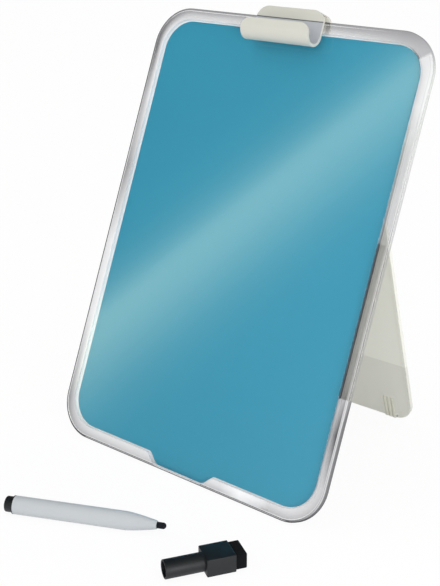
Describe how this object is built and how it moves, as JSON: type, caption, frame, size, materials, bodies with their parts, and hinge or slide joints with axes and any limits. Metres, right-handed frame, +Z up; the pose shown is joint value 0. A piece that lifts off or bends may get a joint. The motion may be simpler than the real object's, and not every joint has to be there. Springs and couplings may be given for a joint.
{
  "type": "magnetic desk whiteboard easel",
  "caption": "Glass writing board in a clear frame, leaning on a hinged leg, with a pen clip on its top edge and a slim marker and its eraser cap lying in front.",
  "frame": {"origin": "on the table, under the middle of the flat along the board's bottom edge, with the leg open", "axes": "+X to the right as the board is read, +Y to the back, +Z up"},
  "size_m": [0.2274, 0.2772, 0.2982],
  "materials": {
    "clear_plastic": "clear polished plastic",
    "glass": "polished glass",
    "colour_field": "smooth printed film",
    "adhesive": "white adhesive sheet",
    "steel": "zinc-plated steel",
    "warm_grey_plastic": "satin moulded plastic",
    "leg_plastic": "satin moulded plastic",
    "foot_rubber": "soft grip rubber",
    "clip_plastic": "satin moulded plastic",
    "barrel_plastic": "satin light grey plastic",
    "black_plastic": "satin black plastic",
    "ink_fibre": "inked fibre",
    "black_felt": "dense felt"
  },
  "bodies": {
    "board": {"clear_frame": "clear_plastic", "glass_panel": "glass", "colour_film": "colour_field", "bonding_sheet": "adhesive", "steel_sheet": "steel", "back_cover": "warm_grey_plastic", "hinge_bracket_left": "warm_grey_plastic", "hinge_bracket_right": "warm_grey_plastic", "hinge_pin_left": "steel", "hinge_pin_right": "steel", "bracket_screws": "steel"},
    "leg": {"leg_panel": "leg_plastic", "leg_foot_left": "foot_rubber", "leg_foot_right": "foot_rubber"},
    "clip": {"pen_clip": "clip_plastic", "clip_grip_pad": "foot_rubber"},
    "pen": {"pen_barrel": "barrel_plastic", "pen_end_plug": "black_plastic", "ink_core": "ink_fibre", "pen_nib": "ink_fibre"},
    "cap": {"cap_shell": "black_plastic", "cap_magnet": "steel", "eraser_felt": "black_felt"}
  },
  "joints": [
    {"name": "leg_hinge", "type": "hinge", "parent": "board", "child": "leg", "pos_m": [0, 0.09978, 0.22219], "axis": [1, 0, 0], "range_deg": [-40, 0]},
    {"name": "clip_lift", "type": "slide", "parent": "board", "child": "clip", "axis": [0, 0.3859, 0.9225], "range_m": [0, 0.03]},
    {"name": "pen_lift", "type": "slide", "parent": "board", "child": "pen", "axis": [0, 0, 1], "range_m": [0, 0.06]},
    {"name": "cap_lift", "type": "slide", "parent": "board", "child": "cap", "axis": [0, 0, 1], "range_m": [0, 0.06]}
  ]
}
